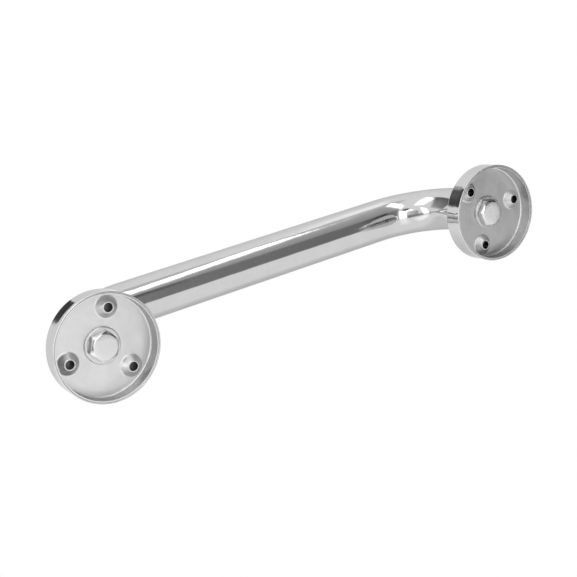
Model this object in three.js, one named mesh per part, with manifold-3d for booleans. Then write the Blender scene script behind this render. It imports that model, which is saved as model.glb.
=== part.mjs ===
// Grab rail for a boat, in millimetres, +Z up. It stands on its two flanges: the mounting plane is z = 0,
// the rail runs along X, and the origin lies midway between the flange axes.
//
// A bent tube stands on two flanges. Each flange is a pressed base cup, bolted to a threaded plug in the
// tube's end by one hex bolt on a washer, and a cover cup that drops over the base and round the tube.

import * as THREE from 'three';
import { mergeVertices } from 'three/addons/utils/BufferGeometryUtils.js';
import Module from 'manifold-3d';

// ---------------------------------------------------------------- driving dimensions

const AXIS_SPACING = 249;       // between the two flange axes
const GRIP_AXIS_Z = 66.4;       // mounting plane to the grip's axis
const TUBE_R = 12.7;            // one inch tube
const TUBE_WALL = 1.5;
const BEND_R = 39;              // to the tube's axis

const COVER_R = 28;
const COVER_H = 10.9;
const COVER_SHEET = 0.7;
const COVER_EDGE_R = 0.6;       // outside corner
const COVER_HOLE_R = TUBE_R + 0.3;

const BASE_SHEET = 0.8;
const BASE_WALL_R = 27.1;       // outside of the base cup's wall
const BASE_PLATE_Z = 7.8;       // underside of its plate
const BASE_BEND_R = 1;          // inside the cup, from wall to plate
const BASE_BOLT_HOLE_R = 5.2;
const BASE_TURNS = { left: -9.7, right: -8.5 };   // degrees from the rail's line, as each was bolted up

const SCREW_HOLES = 3;
const SCREW_CIRCLE_R = 19.3;
const SCREW_HOLE_R = 2.35;
const DIMPLE_FOOT_R = 6.1;      // where the pressed countersink leaves the plate
const DIMPLE_TOP_R = 2.9;
const DIMPLE_TOP_Z = 4.75;
const SINK_MOUTH_R = 5.75;      // the countersink seen from the screw's side

const BOLT_R = 4.76;            // 3/8 in thread
const BOLT_END_Z = 21;
const HEAD_FLATS = 14.3;
const HEAD_Z = 3.1;             // the head's free face
const HEAD_H = 3.2;
const HEAD_FACE_R = 6.5;        // free face inside the chamfer
const HEAD_CHAMFER = 30;        // degrees
const HEAD_TURNS = { left: 51, right: 10 };       // degrees, where each bolt came tight
const WASHER_R = 9.5;
const WASHER_H = 1.2;

const PLUG_H = 13;
const PLUG_CHAMFER = 0.8;
const THREAD_GAP = 0.3;         // bolt to plug and plug to tube
const STACK_GAP = 0.1;          // between pieces that bear on each other

const ROUND = 40;               // facets round a flange
const SMALL_ROUND = 24;         // round a bolt or a dimple
const TUBE_ROUND = 32;
const BEND_STEPS = 9;           // along each bend

// ---------------------------------------------------------------- what follows from them

const FLANGE_X = AXIS_SPACING / 2;
const BASE_TOP_Z = BASE_PLATE_Z + BASE_SHEET;
const TUBE_END_Z = BASE_TOP_Z + STACK_GAP;
const TUBE_INNER_R = TUBE_R - TUBE_WALL;
const WASHER_Z = BASE_PLATE_Z - STACK_GAP - WASHER_H;
const radians = THREE.MathUtils.degToRad;

const polished = (roughness) => new THREE.MeshStandardMaterial({ color: 0xd9dadb, roughness, metalness: 1 });
const MATERIALS = {
  tube: polished(0.08),
  cover: polished(0.1),
  base: new THREE.MeshStandardMaterial({ color: 0xb4b4b2, roughness: 0.42, metalness: 1 }),
  fastener: new THREE.MeshStandardMaterial({ color: 0xb9b9b6, roughness: 0.35, metalness: 1 }),
  plug: new THREE.MeshStandardMaterial({ color: 0xa2a2a0, roughness: 0.5, metalness: 1 }),
};

// ---------------------------------------------------------------- shape helpers

// A closed outline of [radius, z] pairs, anticlockwise, spun about Z.
function spin(outline, facets) {
  const points = [...outline, outline[0]].map(([r, z]) => new THREE.Vector2(r, z));
  return new THREE.LatheGeometry(points, facets).rotateX(Math.PI / 2);
}

// Points of a quarter bend in an outline, from angle `from` to angle `to` in degrees.
function bend(r, z, radius, from, to, steps = 4) {
  return Array.from({ length: steps + 1 }, (_, i) => {
    const angle = radians(from + ((to - from) * i) / steps);
    return [r + radius * Math.cos(angle), z + radius * Math.sin(angle)];
  });
}

const wasm = await Module();
wasm.setup();

function solid(geometry) {
  const bare = geometry.clone();
  bare.deleteAttribute('normal');
  bare.deleteAttribute('uv');
  const merged = mergeVertices(bare, 1e-4);
  return new wasm.Manifold(new wasm.Mesh({
    numProp: 3,
    vertProperties: new Float32Array(merged.attributes.position.array),
    triVerts: new Uint32Array(merged.index.array),
  }));
}

function geometryOf(manifold) {
  const { vertProperties, triVerts } = manifold.getMesh();
  const geometry = new THREE.BufferGeometry();
  geometry.setAttribute('position', new THREE.BufferAttribute(vertProperties, 3));
  geometry.setIndex(new THREE.BufferAttribute(triVerts, 1));
  return geometry;
}

// ---------------------------------------------------------------- rail tube

// The tube's axis, from the left end up, across and down to the right end. Its parameter counts steps, one
// for each straight and BEND_STEPS for each bend, so that the extrusion spends its facets on the bends.
class RailAxis extends THREE.Curve {
  static steps = 3 + 2 * BEND_STEPS;

  getPoint(t) {
    const half = t <= 0.5 ? t : 1 - t;
    const side = t <= 0.5 ? -1 : 1;
    const step = half * RailAxis.steps;
    const bendX = FLANGE_X - BEND_R;
    const bendZ = GRIP_AXIS_Z - BEND_R;
    if (step <= 1) {
      return new THREE.Vector3(side * FLANGE_X, 0, THREE.MathUtils.lerp(TUBE_END_Z, bendZ, step));
    }
    if (step <= 1 + BEND_STEPS) {
      const angle = ((step - 1) / BEND_STEPS) * (Math.PI / 2);
      return new THREE.Vector3(side * (bendX + BEND_R * Math.cos(angle)), 0, bendZ + BEND_R * Math.sin(angle));
    }
    const across = 2 * (step - 1 - BEND_STEPS);
    return new THREE.Vector3(side * bendX * (1 - across), 0, GRIP_AXIS_Z);
  }

  getPointAt(u) {
    return this.getPoint(u);
  }

  getTangentAt(u) {
    return this.getTangent(u);
  }
}

function railTube() {
  const section = new THREE.Shape().absarc(0, 0, TUBE_R, 0, 2 * Math.PI);
  section.holes.push(new THREE.Path().absarc(0, 0, TUBE_INNER_R, 0, 2 * Math.PI));
  return new THREE.ExtrudeGeometry(section, {
    extrudePath: new RailAxis(),
    steps: RailAxis.steps,
    curveSegments: TUBE_ROUND / 2,    // a full circle takes two of them per facet
  });
}

// ---------------------------------------------------------------- flange pieces, about the flange axis

function cover() {
  const ceiling = COVER_H - COVER_SHEET;
  const wall = COVER_R - COVER_SHEET;
  return spin([
    [COVER_HOLE_R, ceiling],
    [wall, ceiling],
    [wall, 0],
    [COVER_R, 0],
    ...bend(COVER_R - COVER_EDGE_R, COVER_H - COVER_EDGE_R, COVER_EDGE_R, 0, 90, 3),
    [COVER_HOLE_R, COVER_H],
  ], ROUND);
}

function baseCup() {
  const wall = BASE_WALL_R - BASE_SHEET;
  const bendR = wall - BASE_BEND_R;
  const bendZ = BASE_PLATE_Z - BASE_BEND_R;
  let cup = solid(spin([
    [BASE_BOLT_HOLE_R, BASE_PLATE_Z],
    ...bend(bendR, bendZ, BASE_BEND_R, 90, 0),
    [wall, 0],
    [BASE_WALL_R, 0],
    ...bend(bendR, bendZ, BASE_BEND_R + BASE_SHEET, 0, 90),
    [BASE_BOLT_HOLE_R, BASE_TOP_Z],
  ], ROUND));

  const slope = (BASE_PLATE_Z - DIMPLE_TOP_Z) / (DIMPLE_FOOT_R - DIMPLE_TOP_R);
  const insidePlate = BASE_PLATE_Z + BASE_SHEET / 2;
  const bump = spin([
    [0, DIMPLE_TOP_Z],
    [DIMPLE_TOP_R, DIMPLE_TOP_Z],
    [DIMPLE_FOOT_R, BASE_PLATE_Z],
    [DIMPLE_FOOT_R, insidePlate],
    [0, insidePlate],
  ], SMALL_ROUND);
  const sink = spin([
    [0, 0],
    [SCREW_HOLE_R, 0],
    [SCREW_HOLE_R, BASE_TOP_Z - (SINK_MOUTH_R - SCREW_HOLE_R) * slope],
    [SINK_MOUTH_R, BASE_TOP_Z],
    [SINK_MOUTH_R + 1 / slope, BASE_TOP_Z + 1],
    [0, BASE_TOP_Z + 1],
  ], SMALL_ROUND);
  for (let i = 0; i < SCREW_HOLES; i++) {
    const angle = (2 * Math.PI * i) / SCREW_HOLES;
    const place = [SCREW_CIRCLE_R * Math.cos(angle), SCREW_CIRCLE_R * Math.sin(angle), 0];
    cup = cup.add(solid(bump.clone().translate(...place)));
    cup = cup.subtract(solid(sink.clone().translate(...place)));
  }
  return geometryOf(cup);
}

function washer() {
  const hole = BOLT_R + THREAD_GAP;
  return spin([
    [hole, WASHER_Z],
    [WASHER_R, WASHER_Z],
    [WASHER_R, WASHER_Z + WASHER_H],
    [hole, WASHER_Z + WASHER_H],
  ], SMALL_ROUND);
}

// The head hangs under the base plate, its chamfered face downwards; the thread runs up into the plug.
function bolt() {
  const cornerR = HEAD_FLATS / Math.sqrt(3);
  const hexagon = new THREE.Shape(Array.from({ length: 6 }, (_, i) => {
    const angle = (i * Math.PI) / 3;
    return new THREE.Vector2(cornerR * Math.cos(angle), cornerR * Math.sin(angle));
  }));
  const prism = new THREE.ExtrudeGeometry(hexagon, { depth: HEAD_H, bevelEnabled: false });
  const reach = cornerR + 1;
  const chamfer = spin([
    [0, HEAD_Z],
    [HEAD_FACE_R, HEAD_Z],
    [reach, HEAD_Z + (reach - HEAD_FACE_R) * Math.tan(radians(HEAD_CHAMFER))],
    [reach, HEAD_Z + HEAD_H + 1],
    [0, HEAD_Z + HEAD_H + 1],
  ], ROUND);
  const shank = spin([
    [0, HEAD_Z + HEAD_H / 2],
    [BOLT_R, HEAD_Z + HEAD_H / 2],
    [BOLT_R, BOLT_END_Z - 1],
    [BOLT_R - 1, BOLT_END_Z],
    [0, BOLT_END_Z],
  ], SMALL_ROUND);
  const head = solid(prism.translate(0, 0, HEAD_Z)).intersect(solid(chamfer));
  return geometryOf(head.add(solid(shank)));
}

function tubePlug() {
  const hole = BOLT_R + THREAD_GAP;
  const outer = TUBE_INNER_R - THREAD_GAP;
  const foot = TUBE_END_Z + THREAD_GAP;
  return spin([
    [hole, foot],
    [outer, foot],
    [outer, foot + PLUG_H - PLUG_CHAMFER],
    [outer - PLUG_CHAMFER, foot + PLUG_H],
    [hole, foot + PLUG_H],
  ], SMALL_ROUND);
}

// ---------------------------------------------------------------- assembly

function piece(name, geometry, material, turn = 0) {
  const mesh = new THREE.Mesh(geometry, material);
  mesh.name = name;
  mesh.rotation.z = radians(turn);
  return mesh;
}

// On each side, zero turn points away from the middle of the rail.
function flange(side) {
  const outwards = side === 'left' ? 180 : 0;
  const group = new THREE.Group();
  group.position.x = side === 'left' ? -FLANGE_X : FLANGE_X;
  group.add(
    piece(`${side}_cover`, cover(), MATERIALS.cover),
    piece(`${side}_base_cup`, baseCup(), MATERIALS.base, outwards + BASE_TURNS[side]),
    piece(`${side}_washer`, washer(), MATERIALS.fastener),
    piece(`${side}_bolt`, bolt(), MATERIALS.fastener, HEAD_TURNS[side]),
    piece(`${side}_tube_plug`, tubePlug(), MATERIALS.plug),
  );
  return group;
}

const rail = new THREE.Group();
rail.add(piece('rail_tube', railTube(), MATERIALS.tube), flange('left'), flange('right'));

export default rail;
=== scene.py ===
import math

import bmesh
import bpy
from mathutils import Matrix, Vector


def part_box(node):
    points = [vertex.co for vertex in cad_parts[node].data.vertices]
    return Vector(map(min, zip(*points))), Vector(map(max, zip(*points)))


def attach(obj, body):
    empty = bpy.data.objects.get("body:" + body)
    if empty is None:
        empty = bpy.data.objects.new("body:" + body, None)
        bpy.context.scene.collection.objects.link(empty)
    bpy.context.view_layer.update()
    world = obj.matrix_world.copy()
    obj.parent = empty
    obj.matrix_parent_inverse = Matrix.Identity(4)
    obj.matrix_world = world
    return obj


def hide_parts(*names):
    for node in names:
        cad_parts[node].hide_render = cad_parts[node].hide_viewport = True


# A polished steel grab rail: a bent tube on two round flanges. Each flange is a pressed base cup, under a
# cover cup that slides up the tube's leg. A hex bolt with a washer clamps the base to a plug in the tube's
# end. Each piece stands for one CAD node. The flanges stand on z = 0, and the camera looks up at them.

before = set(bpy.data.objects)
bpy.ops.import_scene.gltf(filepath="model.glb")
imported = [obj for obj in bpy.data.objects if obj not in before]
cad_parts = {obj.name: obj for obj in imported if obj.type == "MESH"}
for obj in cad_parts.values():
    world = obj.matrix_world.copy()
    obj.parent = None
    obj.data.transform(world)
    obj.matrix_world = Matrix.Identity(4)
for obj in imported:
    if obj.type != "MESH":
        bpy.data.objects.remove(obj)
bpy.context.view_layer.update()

# ------------------------------------------------------------------ sizes, in metres, from the frame

MM = 0.001
TUBE_LOW, TUBE_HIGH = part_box("rail_tube")
COVER_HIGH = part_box("left_cover")[1]
BASE_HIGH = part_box("left_base_cup")[1]
WASHER_LOW, WASHER_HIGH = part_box("left_washer")
BOLT_LOW, BOLT_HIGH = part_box("left_bolt")
PLUG_LOW, PLUG_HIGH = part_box("left_tube_plug")

EDGE_R = 0.1 * MM                      # the radius of an edge that is only broken
FINE_EDGE_R = 0.05 * MM                # the same on the washer's upper side
CUP_RIM_Z = 0.3 * MM                   # below this a cup's wall turns into its rim

TUBE_R = TUBE_HIGH.y
TUBE_WALL = 1.5 * MM
TUBE_LIP_R = 0.3 * MM
TUBE_END_Z = TUBE_LOW.z
GRIP_Z = TUBE_HIGH.z - TUBE_R
BEND_R = 39 * MM
FLANGE_X = TUBE_HIGH.x - TUBE_R
SIDE_X = {"left": -FLANGE_X, "right": FLANGE_X}

COVER_R = COVER_HIGH.y
COVER_TOP_Z = COVER_HIGH.z
COVER_SHEET = 0.7 * MM
COVER_PLAY = 0.12 * MM                 # between the cover and the base cup
COVER_HOLE_R = TUBE_R + 0.3 * MM
COVER_HOLE_EDGE_R = 0.3 * MM
COVER_FLARE = 0.12 * MM                # how much wider the skirt is at its rim
COVER_FLARE_Z = 2.6 * MM
COVER_FLARE_BEND_R = 8 * MM
COVER_SHOULDER_R = 0.75 * MM           # outside, from the skirt to the top
COVER_CORNER_R = 0.25 * MM             # inside, and round the rim's outer edge
COVER_RIM_INNER_R = 0.12 * MM

BASE_CAD_PLAY = 0.2 * MM               # between the CAD solids of the cover and the base cup
BASE_R = COVER_R - COVER_SHEET - BASE_CAD_PLAY
BASE_SHEET = 0.8 * MM
BASE_TOP_Z = BASE_HIGH.z
BASE_PLATE_Z = BASE_TOP_Z - BASE_SHEET
BASE_BEND_R = 0.7 * MM                 # inside the cup, from wall to plate
BASE_RIM_R = 0.15 * MM
BASE_BOLT_HOLE_R = 5.2 * MM
BASE_BOLT_HOLE_COLLAR = 0.3 * MM       # the ring round the hole that the plate is joined to
BASE_TURN = {"left": 180 - 9.7, "right": -8.5}     # degrees

SCREW_HOLES = 3
SCREW_CIRCLE_R = 19.3 * MM
SCREW_HOLE_R = 2.35 * MM
SCREW_HOLE_EDGE_R = 0.15 * MM
DIMPLE_TIP_R = 2.85 * MM
DIMPLE_TIP_Z = 4.75 * MM
DIMPLE_TIP_BEND_R = 0.45 * MM
DIMPLE_FOOT_R = 5.7 * MM
DIMPLE_FOOT_BEND_R = 1.1 * MM
DIMPLE_REACH = 0.52 * MM               # how far the bend at its foot spreads over the plate
SINK_MOUTH_R = 5.35 * MM

WASHER_R = WASHER_HIGH.x + FLANGE_X
WASHER_PLAY = 0.3 * MM                 # round the bolt
WASHER_BEVEL = 0.45 * MM
WASHER_BEVEL_HEIGHT = 0.35 * MM
WASHER_BEVEL_FOOT_R = 0.4 * MM         # where the bevel meets the face
WASHER_BEVEL_SIDE_R = 0.3 * MM         # where it meets the outside

BOLT_R = 4.76 * MM
BOLT_PITCH = 25.4 / 16 * MM
THREAD_DEPTH = 0.9 * MM
THREAD_LOW_Z = BASE_TOP_Z + 1.5 * MM
THREAD_HIGH_Z = BOLT_HIGH.z - 1.0 * MM
THREAD_STEEPNESS = 1.3                 # 1 is a thread whose flanks reach over its whole pitch
THREAD_CREST = 0.15                    # how much of that is cut off for a flat crest
HEAD_Z = BOLT_LOW.z
HEAD_SEAT_Z = HEAD_Z + 3.2 * MM        # where it sits on the washer
HEAD_FLATS = 14.3 * MM
HEAD_FACE_R = 6.3 * MM
HEAD_CHAMFER = 30                      # degrees
HEAD_CORNER_R = 0.3 * MM
HEAD_SOFT = 0.1 * MM                   # the size of its softened edges
HEAD_TURN = {"left": 51, "right": 10}  # degrees

PLUG_R = PLUG_HIGH.x + FLANGE_X
PLUG_PLAY = 0.2 * MM                   # round the bolt's thread
PLUG_CHAMFER = 0.8 * MM
PLUG_EDGE_R = 0.2 * MM

# ------------------------------------------------------------------ camera

CAMERA_AT = Vector((-304.57, -160.35, -523.58)) * MM
CAMERA_AIM = Vector((1.1, 13.9, 39.5)) * MM
CAMERA_UP = Vector((0.2933, -0.9466, 0.1336))
CAMERA_LENS = 73.1                     # mm, as is the sensor
CAMERA_SENSOR = 36
CAMERA_NEAR = 10 * MM


def add_camera():
    data = bpy.data.cameras.new("camera")
    data.lens = CAMERA_LENS
    data.sensor_width = CAMERA_SENSOR
    data.clip_start = CAMERA_NEAR
    forward = (CAMERA_AIM - CAMERA_AT).normalized()
    right = forward.cross(CAMERA_UP).normalized()
    up = right.cross(forward)
    turned = Matrix((right, up, -forward)).transposed().to_4x4()
    camera = bpy.data.objects.new("camera", data)
    camera.matrix_world = Matrix.Translation(CAMERA_AT) @ turned
    bpy.context.scene.collection.objects.link(camera)
    bpy.context.scene.camera = camera


# ------------------------------------------------------------------ materials

# Every piece carries two attributes for its material. "grain" is (distance across the tool marks in metres,
# cosine and sine of the angle round the piece), and "worn" is 1 on rounded edges and 0 elsewhere.

CLOUDS = 90.0                # a metre, in each steel's tone and roughness
MARK_CHANGE = 1.5            # how fast a tool mark changes on its way round the piece
LEAST_WEAR = 0.4             # of the full brightness of a worn edge, in its dullest spots


class Nodes:
    """A new material, with short ways to add nodes and join them."""

    def __init__(self, name):
        self.material = bpy.data.materials.new(name)
        self.material.use_nodes = True
        self.tree = self.material.node_tree
        self.shader = self.tree.nodes["Principled BSDF"]

    def new(self, kind, **settings):
        node = self.tree.nodes.new("ShaderNode" + kind)
        for key, value in settings.items():
            setattr(node, key, value)
        return node

    def join(self, output, socket):
        self.tree.links.new(output, socket)

    def attribute(self, name):
        return self.new("Attribute", attribute_name=name)

    def object_place(self):
        return self.new("TexCoord").outputs["Object"]

    def noise(self, vector, scale, detail=2.0, roughness=0.5):
        node = self.new("TexNoise")
        node.inputs["Scale"].default_value = scale
        node.inputs["Detail"].default_value = detail
        node.inputs["Roughness"].default_value = roughness
        self.join(vector, node.inputs["Vector"])
        return node.outputs["Fac"]

    def scaled(self, vector, factors):
        node = self.new("VectorMath", operation="MULTIPLY")
        self.join(vector, node.inputs[0])
        node.inputs[1].default_value = factors
        return node.outputs["Vector"]

    def length(self, vector):
        node = self.new("VectorMath", operation="LENGTH")
        self.join(vector, node.inputs[0])
        return node.outputs["Value"]

    def maths(self, operation, first, second):
        node = self.new("Math", operation=operation)
        for socket, value in zip(node.inputs, (first, second)):
            if isinstance(value, (int, float)):
                socket.default_value = value
            else:
                self.join(value, socket)
        return node.outputs["Value"]

    def spread(self, value, low, high, from_low=0.3, from_high=0.7):
        """Maps a value to low .. high. Without a range of its own, that is where most of a noise lies."""
        node = self.new("MapRange")
        self.join(value, node.inputs["Value"])
        node.inputs["From Min"].default_value = from_low
        node.inputs["From Max"].default_value = from_high
        node.inputs["To Min"].default_value = low
        node.inputs["To Max"].default_value = high
        return node.outputs["Result"]

    def grey(self, value):
        node = self.new("CombineColor")
        for channel in node.inputs:
            self.join(value, channel)
        return node.outputs["Color"]

    def bump(self, height, distance, strength, under=None):
        node = self.new("Bump")
        node.inputs["Distance"].default_value = distance
        node.inputs["Strength"].default_value = strength
        self.join(height, node.inputs["Height"])
        if under is not None:
            self.join(under, node.inputs["Normal"])
        return node.outputs["Normal"]

    def show_mix(self, share, first, second):
        """Makes the surface a mix of two shaders, where share is the second one's."""
        mix = self.new("MixShader")
        self.join(share, mix.inputs["Fac"])
        self.join(first, mix.inputs[1])
        self.join(second, mix.inputs[2])
        self.join(mix.outputs["Shader"], self.tree.nodes["Material Output"].inputs["Surface"])


def steel(name, tone, roughness, lines, grain, waves, edge_tone, grazing):
    """Bare steel. tone and roughness are (lowest, highest). lines is (width in metres, strength) of the marks
    that polishing or turning left, grain is the same for the speckle of the sheet, and waves for the
    unevenness that bends reflections. edge_tone is how much brighter a worn edge is, and grazing the tint of
    what is reflected at a grazing angle."""
    nodes = Nodes(name)
    marks = nodes.attribute("grain").outputs["Vector"]
    worn = nodes.attribute("worn").outputs["Fac"]
    spot = nodes.object_place()

    marks = nodes.scaled(marks, (1 / lines[0], MARK_CHANGE, MARK_CHANGE))
    line = nodes.noise(marks, 1.0, detail=3.0, roughness=0.6)
    speckle = nodes.noise(spot, 1 / grain[0])
    cloud = nodes.noise(spot, CLOUDS, detail=4.0)
    wave = nodes.noise(spot, 1 / waves[0], detail=1.0)

    uneven = nodes.maths("ADD", nodes.maths("MULTIPLY", line, 0.5), nodes.maths("MULTIPLY", cloud, 0.5))
    shade = nodes.spread(uneven, tone[0], tone[1])
    wear = nodes.maths("MULTIPLY", worn, nodes.spread(speckle, LEAST_WEAR, 1.0))
    lift = nodes.maths("MULTIPLY", wear, edge_tone)
    nodes.join(nodes.grey(nodes.maths("ADD", shade, lift)), nodes.shader.inputs["Base Color"])
    nodes.join(nodes.spread(uneven, roughness[0], roughness[1]), nodes.shader.inputs["Roughness"])

    normal = nodes.bump(wave, waves[0], waves[1])
    normal = nodes.bump(line, lines[0], lines[1], normal)
    normal = nodes.bump(speckle, grain[0], grain[1], normal)
    nodes.join(normal, nodes.shader.inputs["Normal"])

    nodes.shader.inputs["Metallic"].default_value = 1.0
    nodes.shader.inputs["Specular Tint"].default_value = (grazing, grazing, grazing, 1.0)
    return nodes.material


def steel_materials():
    return {
        "polished_tube": steel(
            "polished tube", tone=(0.59, 0.65), roughness=(0.04, 0.13), lines=(0.5 * MM, 0.012),
            grain=(0.2 * MM, 0.01), waves=(9 * MM, 0.01), edge_tone=0.05, grazing=0.7),
        "polished_cover": steel(
            "polished cover", tone=(0.60, 0.64), roughness=(0.05, 0.11), lines=(0.35 * MM, 0.012),
            grain=(0.2 * MM, 0.01), waves=(7 * MM, 0.015), edge_tone=0.08, grazing=0.8),
        # the cover's inside: rough unpolished steel, but its dark tone is painted shade, so the gap round the
        # base and the screw holes look dark
        "cover_inside_painted_shade": steel(
            "unpolished inside, painted shade", tone=(0.24, 0.32), roughness=(0.5, 0.65), lines=(0.4 * MM, 0.1),
            grain=(0.2 * MM, 0.1), waves=(5 * MM, 0.02), edge_tone=0.02, grazing=0.8),
        "pressed_base": steel(
            "pressed sheet", tone=(0.60, 0.71), roughness=(0.36, 0.44), lines=(0.8 * MM, 0.02),
            grain=(0.15 * MM, 0.10), waves=(6 * MM, 0.015), edge_tone=0.08, grazing=0.8),
        # the cup's inner wall: drawn sheet with stronger draw marks, and a tone darker than the plate's that
        # is painted shade inside the cup
        "drawn_wall_painted_shade": steel(
            "drawn wall, painted shade", tone=(0.50, 0.58), roughness=(0.34, 0.44), lines=(0.6 * MM, 0.04),
            grain=(0.15 * MM, 0.05), waves=(6 * MM, 0.03), edge_tone=0.08, grazing=0.8),
        "washer": steel(
            "washer steel", tone=(0.60, 0.66), roughness=(0.27, 0.34), lines=(0.3 * MM, 0.03),
            grain=(0.15 * MM, 0.08), waves=(6 * MM, 0.02), edge_tone=0.04, grazing=0.8),
        "fastener": steel(
            "bright bolt steel", tone=(0.66, 0.72), roughness=(0.09, 0.15), lines=(0.4 * MM, 0.015),
            grain=(0.25 * MM, 0.02), waves=(2.5 * MM, 0.01), edge_tone=0.06, grazing=0.8),
        "plug": steel(
            "turned steel", tone=(0.50, 0.58), roughness=(0.26, 0.36), lines=(0.25 * MM, 0.15),
            grain=(0.2 * MM, 0.06), waves=(5 * MM, 0.02), edge_tone=0.06, grazing=0.8),
    }


# ------------------------------------------------------------------ mesh helpers

GUARD = 0.04 * MM            # a flat keeps its own normals beyond this distance from a rounded edge
SHARP = 40                   # degrees, and the shading breaks at an edge sharper than this
ARC_STEPS = 6


def around(count):
    """The angles of that many equal steps round a circle."""
    return [2 * math.pi * i / count for i in range(count)]


def polar(radius, angle, z, centre=(0, 0)):
    """The point at that radius and angle about the Z axis through centre."""
    return Vector((centre[0] + radius * math.cos(angle), centre[1] + radius * math.sin(angle), z))


def rounded(corners, closed=True, steps=ARC_STEPS):
    """An outline from (radius, z, corner radius) corners: [(point, worn)], the corners turned into arcs."""
    places = [Vector((r, z)) for r, z, *_ in corners]
    radii = [corner[2] if len(corner) > 2 else 0.0 for corner in corners]
    made = []
    for i, (here, radius) in enumerate(zip(places, radii)):
        at_end = not closed and i in (0, len(places) - 1)
        if at_end or radius == 0:
            made.append((here, 0.0))
            continue
        back = (places[i - 1] - here).normalized()
        on = (places[(i + 1) % len(places)] - here).normalized()
        half = back.angle(on) / 2
        reach = radius / math.tan(half)
        centre = here + (back + on).normalized() * (radius / math.sin(half))
        first = here + back * reach - centre
        turn = math.pi - 2 * half
        if back.y * on.x - back.x * on.y < 0:       # the outline bends to the right here
            turn = -turn
        made.append((here + back * (reach + GUARD), 0.0))
        for k in range(steps + 1):
            angle = turn * k / steps
            cosine, sine = math.cos(angle), math.sin(angle)
            turned = Vector((first.x * cosine - first.y * sine, first.x * sine + first.y * cosine))
            made.append((centre + turned, 1.0))
        made.append((here + on * (reach + GUARD), 0.0))
    return made


class Skin:
    """Collects rings of points into one mesh with its material attributes."""

    def __init__(self):
        self.points, self.faces, self.grain, self.worn = [], [], [], []

    def ring(self, points, across, worn=0.0):
        """Adds a ring of points, which is that far across the tool marks. Returns their numbers."""
        start = len(self.points)
        for point, angle in zip(points, around(len(points))):
            self.points.append(point)
            self.grain.append((across, math.cos(angle), math.sin(angle)))
            self.worn.append(worn)
        return range(start, len(self.points))

    def tip(self, point, across):
        self.points.append(point)
        self.grain.append((across, 0.0, 0.0))
        self.worn.append(0.0)
        return len(self.points) - 1

    def strip(self, first, second):
        """The faces between two rings."""
        count = len(first)
        for i in range(count):
            after = (i + 1) % count
            self.faces.append((first[i], first[after], second[after], second[i]))

    def fan(self, tip, ring):
        """The faces between a ring and the point in its middle."""
        count = len(ring)
        for i in range(count):
            self.faces.append((tip, ring[i], ring[(i + 1) % count]))

    def lay(self, rings, closed=False):
        """The faces between each ring and the next one, and if closed, between the last and the first."""
        for first, second in zip(rings, rings[1:]):
            self.strip(first, second)
        if closed:
            self.strip(rings[-1], rings[0])

    def spin(self, outline, facets, closed=True, centre=(0, 0)):
        """Spins an outline of (point, worn) pairs about the Z axis through centre. Returns its rings."""
        rings = []
        across = 0.0
        last = outline[0][0]
        for spot, worn in outline:
            across += (spot - last).length
            last = spot
            points = [polar(spot.x, angle, spot.y, centre) for angle in around(facets)]
            rings.append(self.ring(points, across, worn))
        self.lay(rings, closed)
        return rings

    def build(self, name, fill_heights=()):
        """Makes the piece. Open edges at each of the heights are filled to one flat face with its holes."""
        mesh = bpy.data.meshes.new(name)
        mesh.from_pydata(self.points, [], self.faces)
        grain = mesh.attributes.new("grain", "FLOAT_VECTOR", "POINT")
        grain.data.foreach_set("vector", [value for vector in self.grain for value in vector])
        worn = mesh.attributes.new("worn", "FLOAT", "POINT")
        worn.data.foreach_set("value", self.worn)
        work = bmesh.new()
        work.from_mesh(mesh)
        for height in fill_heights:
            edges = [
                edge for edge in work.edges
                if edge.is_boundary and all(abs(end.co.z - height) < GUARD / 4 for end in edge.verts)
            ]
            bmesh.ops.triangle_fill(work, edges=edges, use_beauty=True)
        bmesh.ops.recalc_face_normals(work, faces=work.faces)
        work.to_mesh(mesh)
        work.free()
        mesh.polygons.foreach_set("use_smooth", [True] * len(mesh.polygons))
        mesh.set_sharp_from_angle(angle=math.radians(SHARP))
        piece = bpy.data.objects.new(name, mesh)
        bpy.context.scene.collection.objects.link(piece)
        return piece


def place(piece, node, body, slot, x=0.0, turn=0.0, finish=None, others=()):
    """Puts a piece that was made about the Z axis in its place, and gives it what its CAD node has. others
    holds (finish, test) pairs: the finish is for the faces whose centre passes the test."""
    piece.data.transform(Matrix.Rotation(math.radians(turn), 4, "Z"))
    piece.location.x = x
    piece.data.materials.append(MATERIALS[finish or slot])
    for index, (other, test) in enumerate(others, start=1):
        piece.data.materials.append(MATERIALS[other])
        for face in piece.data.polygons:
            if test(face.center):
                face.material_index = index
    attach(piece, body)
    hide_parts(node)


# ------------------------------------------------------------------ rail tube

TUBE_FACETS = 96
BEND_STEPS = 44
LEG_STEPS = 4
LIP_STEPS = 5
BEND_GUARD = 10 * GUARD      # the straights keep their own normals beyond this distance from a bend


def rail_axis():
    """[(point, direction)] along the tube's axis, from the left end to the right end, without the lips."""
    bend_x = FLANGE_X - BEND_R
    bend_z = GRIP_Z - BEND_R
    up, along = Vector((0, 0, 1)), Vector((1, 0, 0))
    half = []
    for i in range(LEG_STEPS):
        height = TUBE_END_Z + TUBE_LIP_R + (bend_z - TUBE_END_Z - TUBE_LIP_R) * i / LEG_STEPS
        half.append((Vector((-FLANGE_X, 0, height)), up))
    half.append((Vector((-FLANGE_X, 0, bend_z - BEND_GUARD)), up))
    for i in range(BEND_STEPS + 1):
        angle = math.pi / 2 * i / BEND_STEPS
        point = Vector((-bend_x - BEND_R * math.cos(angle), 0, bend_z + BEND_R * math.sin(angle)))
        half.append((point, Vector((math.sin(angle), 0, math.cos(angle)))))
    half.append((Vector((-bend_x + BEND_GUARD, 0, GRIP_Z)), along))
    mirrored = [
        (Vector((-point.x, 0, point.z)), Vector((way.x, 0, -way.z))) for point, way in reversed(half)
    ]
    return half + [(Vector((0, 0, GRIP_Z)), along)] + mirrored


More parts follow.
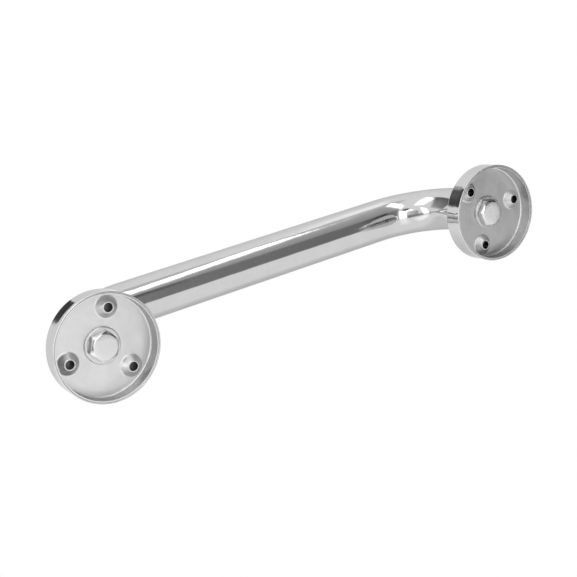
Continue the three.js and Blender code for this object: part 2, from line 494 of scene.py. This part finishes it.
def tube_ring(skin, point, way, radius, across, worn=0.0):
    side = Vector((0, 1, 0))
    out = side.cross(way)
    points = [
        point + (side * math.cos(angle) + out * math.sin(angle)) * radius for angle in around(TUBE_FACETS)
    ]
    return skin.ring(points, across, worn)


def tube_surface(skin, axis, radius, inward):
    """The rings of one surface of the tube. Its lip at each end bends into the wall: inward is 1 for the
    outer surface and -1 for the inner one."""
    arcs = [math.pi / 2 * k / LIP_STEPS for k in range(LIP_STEPS)]

    def lip(end, beyond, arc, across):
        point, way = end
        width = radius - inward * TUBE_LIP_R * (1 - math.sin(arc))
        return tube_ring(skin, point + way * TUBE_LIP_R * math.cos(arc) * beyond, way, width, across, 1.0)

    rings = [lip(axis[0], -1, arc, 0.0) for arc in arcs]
    across = 0.0
    last = axis[0][0]
    for point, way in axis:
        across += (point - last).length
        last = point
        rings.append(tube_ring(skin, point, way, radius, across))
    rings += [lip(axis[-1], 1, arc, across) for arc in reversed(arcs)]
    return rings


def make_tube():
    skin = Skin()
    axis = rail_axis()
    outer = tube_surface(skin, axis, TUBE_R, 1)
    inner = tube_surface(skin, axis, TUBE_R - TUBE_WALL, -1)
    skin.lay(outer + inner[::-1], closed=True)
    place(skin.build("tube_bent"), "rail_tube", "rail", "polished_tube")


# ------------------------------------------------------------------ flange pieces

FLANGE_FACETS = 160
DIMPLE_FACETS = 64
DIMPLE_ARC_STEPS = 10


def make_cover(side):
    """The polished cup over the base, open below, with a hole in its top for the leg."""
    ceiling = COVER_TOP_Z - COVER_SHEET
    wall = BASE_R + COVER_PLAY
    skirt = COVER_R - COVER_FLARE
    skin = Skin()
    skin.spin(rounded([
        (COVER_HOLE_R, ceiling, EDGE_R),
        (wall, ceiling, COVER_CORNER_R),
        (wall, 0, COVER_RIM_INNER_R),
        (COVER_R, 0, COVER_CORNER_R),
        (skirt, COVER_FLARE_Z, COVER_FLARE_BEND_R),
        (skirt, COVER_TOP_Z, COVER_SHOULDER_R),
        (COVER_HOLE_R, COVER_TOP_Z, COVER_HOLE_EDGE_R),
    ]), FLANGE_FACETS)
    piece = skin.build(side + "_cover_shell")

    # the inside takes the rough material whose dark tone is painted shade
    def is_inside(at):
        return CUP_RIM_Z < at.z < ceiling + GUARD and math.hypot(at.x, at.y) < wall + GUARD

    place(
        piece, side + "_cover", side + "_cover", "polished_cover", SIDE_X[side],
        others=[("cover_inside_painted_shade", is_inside)])


def make_base(side):
    """The pressed cup, open below: its wall and bend, the bolt's hole, and the dimples with their screw
    holes. Flat faces then fill the plate's two sides between them."""
    wall = BASE_R - BASE_SHEET
    plate_edge = wall - BASE_BEND_R - 1.5 * GUARD
    skin = Skin()
    skin.spin(rounded([
        (plate_edge, BASE_PLATE_Z),
        (wall, BASE_PLATE_Z, BASE_BEND_R),
        (wall, 0, BASE_RIM_R),
        (BASE_R, 0, BASE_RIM_R),
        (BASE_R, BASE_TOP_Z, BASE_BEND_R + BASE_SHEET),
        (plate_edge, BASE_TOP_Z),
    ], closed=False), FLANGE_FACETS, closed=False)

    collar = BASE_BOLT_HOLE_R + BASE_BOLT_HOLE_COLLAR
    skin.spin(rounded([
        (collar, BASE_PLATE_Z),
        (BASE_BOLT_HOLE_R, BASE_PLATE_Z, EDGE_R),
        (BASE_BOLT_HOLE_R, BASE_TOP_Z, EDGE_R),
        (collar, BASE_TOP_Z),
    ], closed=False), DIMPLE_FACETS, closed=False)

    slope = (BASE_PLATE_Z - DIMPLE_TIP_Z) / (DIMPLE_FOOT_R - DIMPLE_TIP_R)
    dimple = rounded([
        (DIMPLE_FOOT_R + DIMPLE_REACH, BASE_PLATE_Z),
        (DIMPLE_FOOT_R, BASE_PLATE_Z, DIMPLE_FOOT_BEND_R),
        (DIMPLE_TIP_R, DIMPLE_TIP_Z, DIMPLE_TIP_BEND_R),
        (SCREW_HOLE_R, DIMPLE_TIP_Z, SCREW_HOLE_EDGE_R),
        (SCREW_HOLE_R, BASE_TOP_Z - (SINK_MOUTH_R - SCREW_HOLE_R) * slope, EDGE_R),
        (SINK_MOUTH_R, BASE_TOP_Z, DIMPLE_FOOT_BEND_R - BASE_SHEET),
        (SINK_MOUTH_R + DIMPLE_REACH, BASE_TOP_Z),
    ], closed=False, steps=DIMPLE_ARC_STEPS)
    for angle in around(SCREW_HOLES):
        centre = (SCREW_CIRCLE_R * math.cos(angle), SCREW_CIRCLE_R * math.sin(angle))
        skin.spin(dimple, DIMPLE_FACETS, closed=False, centre=centre)
    piece = skin.build(side + "_base_pressing", (BASE_PLATE_Z, BASE_TOP_Z))

    # the inner wall takes the material whose darker tone is painted shade
    def is_wall(at):
        return CUP_RIM_Z < at.z < BASE_PLATE_Z - BASE_BEND_R and math.hypot(at.x, at.y) > wall - GUARD

    place(
        piece, side + "_base_cup", side + "_base", "pressed_base", SIDE_X[side], BASE_TURN[side],
        others=[("drawn_wall_painted_shade", is_wall)])


def make_washer(side):
    """The washer under the bolt's head, bevelled on the head's side."""
    skin = Skin()
    hole = BOLT_R + WASHER_PLAY
    top = BASE_PLATE_Z - GUARD / 2
    skin.spin(rounded([
        (hole, WASHER_LOW.z, EDGE_R),
        (WASHER_R - WASHER_BEVEL, WASHER_LOW.z, WASHER_BEVEL_FOOT_R),
        (WASHER_R, WASHER_LOW.z + WASHER_BEVEL_HEIGHT, WASHER_BEVEL_SIDE_R),
        (WASHER_R, top, FINE_EDGE_R),
        (hole, top, FINE_EDGE_R),
    ]), FLANGE_FACETS)
    piece = skin.build(side + "_washer_round")
    place(piece, side + "_washer", "rail", "fastener", SIDE_X[side], finish="washer")


# ------------------------------------------------------------------ bolt and plug

THREAD_RINGS = 110
HEAD_FLAT_STEPS = 5          # from the middle of a flat to its corner, and round the corner
SHANK_GRAIN = 12 * MM        # how far across the tool marks the shank is at z = 0
BORE_GRAIN = 30 * MM         # the same for the plug's bore, which is followed downwards


def thread_depth(z, angle, low, high=math.inf):
    """The depth of the screw thread at that height and angle. It fades in over a turn from low, and fades
    out over a turn before high."""
    fade = min(1.0, max(0.0, (z - low) / BOLT_PITCH)) * min(1.0, max(0.0, (high - z) / BOLT_PITCH))
    phase = (z / BOLT_PITCH - angle / (2 * math.pi)) % 1.0
    return THREAD_DEPTH * (fade * min(1.0, max(0.0, abs(2 * phase - 1) * THREAD_STEEPNESS - THREAD_CREST)))


def hexagon():
    """[(angle, radius)] round the bolt's head, its corners slightly rounded."""
    inside = HEAD_FLATS / 2
    corner_at = (inside - HEAD_CORNER_R) / math.cos(math.pi / 6)
    limit = math.atan((inside - HEAD_CORNER_R) * math.tan(math.pi / 6) / inside)
    steps = [limit * k / HEAD_FLAT_STEPS for k in range(-HEAD_FLAT_STEPS, HEAD_FLAT_STEPS + 1)]
    steps += [limit + (math.pi / 3 - 2 * limit) * k / HEAD_FLAT_STEPS for k in range(1, HEAD_FLAT_STEPS)]
    made = []
    for side in range(6):
        for step in steps:
            if step <= limit:
                radius = inside / math.cos(step)
            else:
                away = math.pi / 6 - step
                radius = corner_at * math.cos(away)
                radius += math.sqrt(HEAD_CORNER_R ** 2 - (corner_at * math.sin(away)) ** 2)
            made.append((math.pi / 6 + side * math.pi / 3 + step, radius))
    return made


def make_bolt(side):
    """The bolt, from the face of its head, which is lowest, to the shank's end. All its rings have the
    points of the head's outline, and each tells how far it is across the tool marks, in round figures."""
    skin = Skin()
    outline = hexagon()
    rise = math.tan(math.radians(HEAD_CHAMFER))
    soft = HEAD_SOFT

    def ring(radius_and_z, across, worn=0.0):
        points = []
        for angle, outer in outline:
            radius, z = radius_and_z(angle, outer)
            points.append(polar(radius, angle, z))
        return skin.ring(points, across, worn)

    def level(radius, z, across, worn=0.0):
        return ring(lambda angle, outer: (radius, z), across, worn)

    def chamfer_edge(inset, lift, across, worn=0.0):
        """A ring inset from the head's outside, and lifted from where the chamfer meets it."""
        return ring(
            lambda angle, outer: (outer - inset, HEAD_Z + (outer - HEAD_FACE_R) * rise + lift), across, worn)

    def hexagonal(inset, z, across, worn=0.0):
        return ring(lambda angle, outer: (outer - inset, z), across, worn)

    rings = [
        # the round face, and the soft edge between it and the chamfer
        level(HEAD_FACE_R * 0.5, HEAD_Z, 3 * MM),
        level(HEAD_FACE_R - 2.2 * soft, HEAD_Z, 6 * MM),
        level(HEAD_FACE_R - 1.2 * soft, HEAD_Z + 0.06 * soft, 6.2 * MM, 1.0),
        level(HEAD_FACE_R, HEAD_Z + 0.3 * soft, 6.3 * MM, 1.0),
        level(HEAD_FACE_R + 1.2 * soft, HEAD_Z + 1.2 * soft * rise + 0.06 * soft, 6.4 * MM, 1.0),
        level(HEAD_FACE_R + 2.2 * soft, HEAD_Z + 2.2 * soft * rise, 6.6 * MM),
        # the soft edge where the chamfer meets the flats
        chamfer_edge(1.6 * soft, -1.6 * soft * rise, 7.2 * MM),
        chamfer_edge(0.8 * soft, -0.7 * soft * rise, 7.3 * MM, 1.0),
        chamfer_edge(0.2 * soft, 0.3 * soft, 7.4 * MM, 1.0),
        chamfer_edge(0.0, soft, 7.5 * MM),
        # the far edge of the flats
        hexagonal(0.0, HEAD_SEAT_Z - 2 * soft, 9 * MM),
        hexagonal(0.0, HEAD_SEAT_Z - soft, 9.1 * MM),
        hexagonal(soft, HEAD_SEAT_Z, 9.2 * MM, 1.0),
        hexagonal(2 * soft, HEAD_SEAT_Z, 9.3 * MM),
        # the fillet under the head
        level(BOLT_R + 4 * soft, HEAD_SEAT_Z, 11 * MM),
        level(BOLT_R + 3 * soft, HEAD_SEAT_Z, 11.1 * MM),
        level(BOLT_R + soft, HEAD_SEAT_Z + soft, 11.2 * MM),
        level(BOLT_R, HEAD_SEAT_Z + 3 * soft, 11.3 * MM),
    ]
    for i in range(THREAD_RINGS + 1):
        z = THREAD_LOW_Z + (THREAD_HIGH_Z - THREAD_LOW_Z) * i / THREAD_RINGS
        rings.append(ring(
            lambda angle, outer: (BOLT_R - thread_depth(z, angle, THREAD_LOW_Z), z), SHANK_GRAIN + z))
    end_r = BOLT_R - THREAD_DEPTH
    rings += [
        level(end_r, BOLT_HIGH.z - 2 * soft, 34 * MM, 1.0),
        level(end_r - soft, BOLT_HIGH.z, 34.2 * MM, 1.0),
        level(end_r - 3 * soft, BOLT_HIGH.z, 34.4 * MM),
    ]
    skin.lay(rings)
    skin.fan(skin.tip(Vector((0, 0, HEAD_Z)), 0.0), rings[0])
    skin.fan(skin.tip(Vector((0, 0, BOLT_HIGH.z)), 36 * MM), rings[-1])
    piece = skin.build(side + "_bolt_threaded")
    place(piece, side + "_bolt", "rail", "fastener", SIDE_X[side], HEAD_TURN[side])


def make_plug(side):
    """The plug in the tube's end, its bore cut with the bolt's thread."""
    skin = Skin()
    low, high = PLUG_LOW.z, PLUG_HIGH.z
    bore = BOLT_R + PLUG_PLAY
    outline = rounded([
        (bore, low),
        (bore + PLUG_PLAY, low),
        (PLUG_R, low, PLUG_EDGE_R),
        (PLUG_R, high - PLUG_CHAMFER, EDGE_R),
        (PLUG_R - PLUG_CHAMFER, high, EDGE_R),
        (bore + PLUG_PLAY, high),
        (bore, high),
    ], closed=False)
    rings = skin.spin(outline, DIMPLE_FACETS, closed=False)
    for i in range(1, THREAD_RINGS):
        z = high + (low - high) * i / THREAD_RINGS
        points = []
        for angle in around(DIMPLE_FACETS):
            bolt_angle = angle - math.radians(HEAD_TURN[side])
            points.append(polar(bore - thread_depth(z, bolt_angle, low, high), angle, z))
        rings.append(skin.ring(points, BORE_GRAIN - z))
    skin.lay(rings[len(outline) - 1:] + rings[:1])
    piece = skin.build(side + "_plug_threaded")
    place(piece, side + "_tube_plug", "rail", "plug", SIDE_X[side])


# ------------------------------------------------------------------ studio

FLOOR_Z = -0.3 * MM
FLOOR_REACH = 6.0
FLOOR_FADE = 1.0             # from here on it fades
FLOOR_TONE = 0.80
STUDIO_CENTRE = Vector((0.10, 0.0, 0.05))
CARD_CUTS = 24
SOFTBOX = (2.6,) * 4         # its light at each corner

# A card is a sheet that only reflections see: a softbox where its light is over 1, a dark card where it is
# under. It stands at that distance from the studio's centre, or from a centre of its own. Its corners are
# (turn, lean) as in toward(), and lights has one light for each. soft is the share of the sheet over which it
# fades in from its edges: 1-2, 2-3, 3-4 and 4-1.
CARDS = [
    # the dark opening of the studio, low on the +X side, and the strip light along its edge, with a shade and
    # a glow beside it
    dict(name="opening", distance=1.08, corners=[(-14, 2), (50, 2), (56, 60), (-14, 60)],
         lights=(0.28, 0.28, 0.10, 0.10), soft=(0.03, 0.35, 0.1, 0.09)),
    dict(name="opening_edge", distance=1.09, corners=[(10, 2), (46, 2), (98, 36), (10, 50)],
         lights=(0.28, 0.55, 0.60, 0.10), soft=(0.05, 0.10, 0.1, 0.10)),
    dict(name="opening_end", distance=1.06, corners=[(-16, 1), (46, 1), (52, 12), (-16, 12)],
         lights=(0.50, 0.50, 0.40, 0.40), soft=(0.1, 0.1, 0.7, 0.2)),
    dict(name="strip", distance=1.05, corners=[(39, -5), (60, -6), (99, 26), (81, 32)],
         lights=SOFTBOX, soft=(0.08, 0.2, 0.1, 0.35)),
    dict(name="strip_shade", distance=1.055, corners=[(68, 4), (95, 4), (95, 44), (84, 44)],
         lights=(0.60, 0.60, 0.9, 0.6), soft=(0.2, 0.2, 0.1, 0.1)),
    dict(name="glow", distance=1.10, corners=[(90, 20), (124, 20), (124, 46), (90, 46)],
         lights=(1.2, 1.2, 1.5, 1.5), soft=(0.4, 0.4, 0.3, 0.2)),
    # the window below on the -X side, its dark surround, and pale patches beyond it on the +Y side
    dict(name="window", distance=1.05, corners=[(-12, -19), (28, -19), (34, 0), (-12, 0)],
         lights=SOFTBOX, soft=(0.1, 0.1, 0.06, 0.08)),
    dict(name="window_foot", distance=1.05, corners=[(29, -34), (38, -34), (34, -16), (23, -16)],
         lights=SOFTBOX, soft=(0.2, 0.3, 0.1, 0.3)),
    dict(name="window_haze", distance=1.09, corners=[(-58, -25), (-8, -22), (-8, 6), (-58, 8)],
         lights=(1.1, 1.4, 1.4, 1.1), soft=(0.4, 0.05, 0.4, 0.5)),
    dict(name="surround", distance=1.08, corners=[(-22, -64), (6, -64), (3, -18), (-19, -18)],
         lights=(0.36, 0.36, 0.24, 0.26), soft=(0.1, 0.25, 0.1, 0.3)),
    dict(name="surround_right", distance=1.085, corners=[(-4, -50), (34, -48), (28, -22), (-4, -19)],
         lights=(0.38, 0.42, 0.95, 0.8), soft=(0.15, 0.2, 0.1, 0.1)),
    dict(name="floor_glow", distance=1.10, corners=[(-64, -72), (-24, -72), (-22, -28), (-64, -28)],
         lights=(1.5, 1.5, 1.3, 1.3), soft=(0.2, 0.2, 0.3, 0.4)),
    # darker walls beyond the +X end
    dict(name="end_wall", distance=1.10, corners=[(-50, 42), (50, 42), (130, 42), (-130, 42)],
         lights=(0.45, 0.35, 0.45, 0.90), soft=(0.35, 0.35, 0.35, 0.35)),
    dict(name="end_foot", distance=1.09, corners=[(-50, 32), (-10, 36), (-10, 62), (-64, 62)],
         lights=(0.40, 0.25, 0.25, 0.40), soft=(0.3, 0.1, 0.3, 0.3)),
    dict(name="opening_deep", distance=1.04, corners=[(0, 37), (78, 37), (104, 64), (-10, 64)],
         lights=(0.07, 0.07, 0.05, 0.05), soft=(0.15, 0.15, 0.2, 0.2)),
    # the long softboxes on the -Y side and round to the -X end, and the dark ceiling above them
    dict(name="softbox", distance=1.05, corners=[(70, -46), (114, -22), (106, -7), (56, -25)],
         lights=SOFTBOX, soft=(0.3, 0.1, 0.15, 0.1)),
    dict(name="softbox_low", distance=1.05, corners=[(-14, -77), (60, -60), (54, -38), (-14, -61)],
         lights=SOFTBOX, soft=(0.15, 0.2, 0.25, 0.2)),
    dict(name="ceiling", distance=1.08, corners=[(58, -66), (172, -68), (146, -14), (108, -12)],
         lights=(0.62, 0.30, 0.10, 0.12), soft=(0.25, 0.1, 0.07, 0.2)),
    # a dark patch in that ceiling, seen in the covers' skirts
    dict(name="flag", distance=1.05, corners=[(140, -39), (164.5, -36), (159, -8), (136, -8)],
         lights=(0.12, 0.04, 0.04, 0.16), soft=(0.05, 0.03, 0.03, 0.25)),
    # duller walls on the +Y side, seen on the tube's far side
    dict(name="back_wall", distance=1.09, corners=[(-154, -66), (-80, -66), (-80, 40), (-154, 40)],
         lights=(0.80, 0.80, 0.80, 0.80), soft=(0.2, 0.4, 0.2, 0.4)),
    dict(name="back_right", distance=1.07, corners=[(-138, 33), (-98, 33), (-98, 68), (-138, 68)],
         lights=(0.24, 0.24, 0.16, 0.16), soft=(0.2, 0.1, 0.1, 0.1)),
    # a small dark card close to each bolt, seen in the chamfer of its head
    dict(name="left_blocker", distance=0.30, corners=[(34, 17), (52, 17), (52, 44), (30, 44)],
         lights=(0.08, 0.08, 0.20, 0.20), soft=(0.25, 0.15, 0.4, 0.4),
         centre=Vector((SIDE_X["left"], 0, HEAD_Z))),
    dict(name="right_blocker", distance=0.15, corners=[(34, 18), (58, 18), (60, 70), (32, 70)],
         lights=(0.04, 0.04, 0.04, 0.04), soft=(0.25, 0.1, 0.2, 0.15),
         centre=Vector((SIDE_X["right"], 0, HEAD_Z))),
]


def add_world():
    world = bpy.data.worlds.new("studio")
    world.use_nodes = True
    background = world.node_tree.nodes["Background"]
    background.inputs["Color"].default_value = (1, 1, 1, 1)
    background.inputs["Strength"].default_value = 1.0
    world.cycles.sampling_method = "NONE"
    bpy.context.scene.world = world
    bpy.context.scene.view_settings.view_transform = "Standard"


def stage_sheet(name, corners, unseen_by, cuts=1):
    """A four-cornered sheet that isn't part of the object, cut into a grid. unseen_by lists the rays that
    pass it by. Returns it with its grid's (along, across) shares, one for each point."""
    shares = [(i / cuts, j / cuts) for j in range(cuts + 1) for i in range(cuts + 1)]
    points = []
    for along, across in shares:
        near = corners[0].lerp(corners[1], along)
        far = corners[3].lerp(corners[2], along)
        points.append(near.lerp(far, across))
    faces = []
    for j in range(cuts):
        for i in range(cuts):
            first = j * (cuts + 1) + i
            faces.append((first, first + 1, first + cuts + 2, first + cuts + 1))
    mesh = bpy.data.meshes.new(name)
    mesh.from_pydata(points, [], faces)
    sheet = bpy.data.objects.new(name, mesh)
    for ray in unseen_by:
        setattr(sheet, "visible_" + ray, False)
    bpy.context.scene.collection.objects.link(sheet)
    return sheet, shares


def add_floor():
    """A pale floor that is there only from above: the camera looks up at the flanges from under it. Far from
    the object it fades into the white around it."""
    turns = ((-1, -1), (1, -1), (1, 1), (-1, 1))
    corners = [Vector((x * FLOOR_REACH, y * FLOOR_REACH, FLOOR_Z)) for x, y in turns]
    floor, _ = stage_sheet("floor", corners, ("shadow", "diffuse", "glossy", "transmission"))
    nodes = Nodes("floor")
    faded = nodes.spread(nodes.length(nodes.object_place()), 0.0, 1.0, FLOOR_FADE, FLOOR_REACH)
    under = nodes.new("NewGeometry").outputs["Backfacing"]
    matte = nodes.new("BsdfDiffuse")
    matte.inputs["Color"].default_value = (FLOOR_TONE, FLOOR_TONE, FLOOR_TONE, 1)
    clear = nodes.new("BsdfTransparent")
    nodes.show_mix(nodes.maths("MAXIMUM", under, faded), matte.outputs["BSDF"], clear.outputs["BSDF"])
    floor.data.materials.append(nodes.material)


def toward(turn, lean, distance, centre):
    """The point at that distance from the centre. turn is the angle round the X axis, from straight down
    towards -Y, and lean the angle towards +X, both in degrees."""
    turn, lean = math.radians(turn), math.radians(lean)
    flat = math.cos(lean)
    way = Vector((math.sin(lean), -flat * math.sin(turn), -flat * math.cos(turn)))
    return centre + way * distance


def card_material():
    """Clear where a card's "cover" is 0, and glowing with its "light" where it is 1."""
    nodes = Nodes("studio card")
    clear = nodes.new("BsdfTransparent")
    glow = nodes.new("Emission")
    nodes.join(nodes.attribute("light").outputs["Fac"], glow.inputs["Strength"])
    cover = nodes.attribute("cover").outputs["Fac"]
    nodes.show_mix(cover, clear.outputs["BSDF"], glow.outputs["Emission"])
    nodes.material.cycles.emission_sampling = "NONE"
    return nodes.material


def soft_step(share, width):
    """Rises smoothly from 0 at the edge to 1 at width."""
    value = min(1.0, share / width)
    return value * value * (3 - 2 * value)


def add_card(material, name, distance, corners, lights, soft, centre=STUDIO_CENTRE):
    places = [toward(turn, lean, distance, centre) for turn, lean in corners]
    card, shares = stage_sheet(name, places, ("camera", "diffuse", "shadow", "transmission"), CARD_CUTS)
    light, cover = [], []
    for along, across in shares:
        near = lights[0] + (lights[1] - lights[0]) * along
        far = lights[3] + (lights[2] - lights[3]) * along
        light.append(near + (far - near) * across)
        fades = zip((across, 1 - along, 1 - across, along), soft)
        cover.append(math.prod(soft_step(share, width) for share, width in fades))
    for kind, values in (("light", light), ("cover", cover)):
        card.data.attributes.new(kind, "FLOAT", "POINT").data.foreach_set("value", values)
    card.data.materials.append(material)


def add_cards():
    material = card_material()
    for card in CARDS:
        add_card(material, **card)


# ------------------------------------------------------------------ assembly

MATERIALS = steel_materials()
add_camera()
add_world()
add_floor()
add_cards()
make_tube()
for flange_side in SIDE_X:
    make_cover(flange_side)
    make_base(flange_side)
    make_washer(flange_side)
    make_bolt(flange_side)
    make_plug(flange_side)
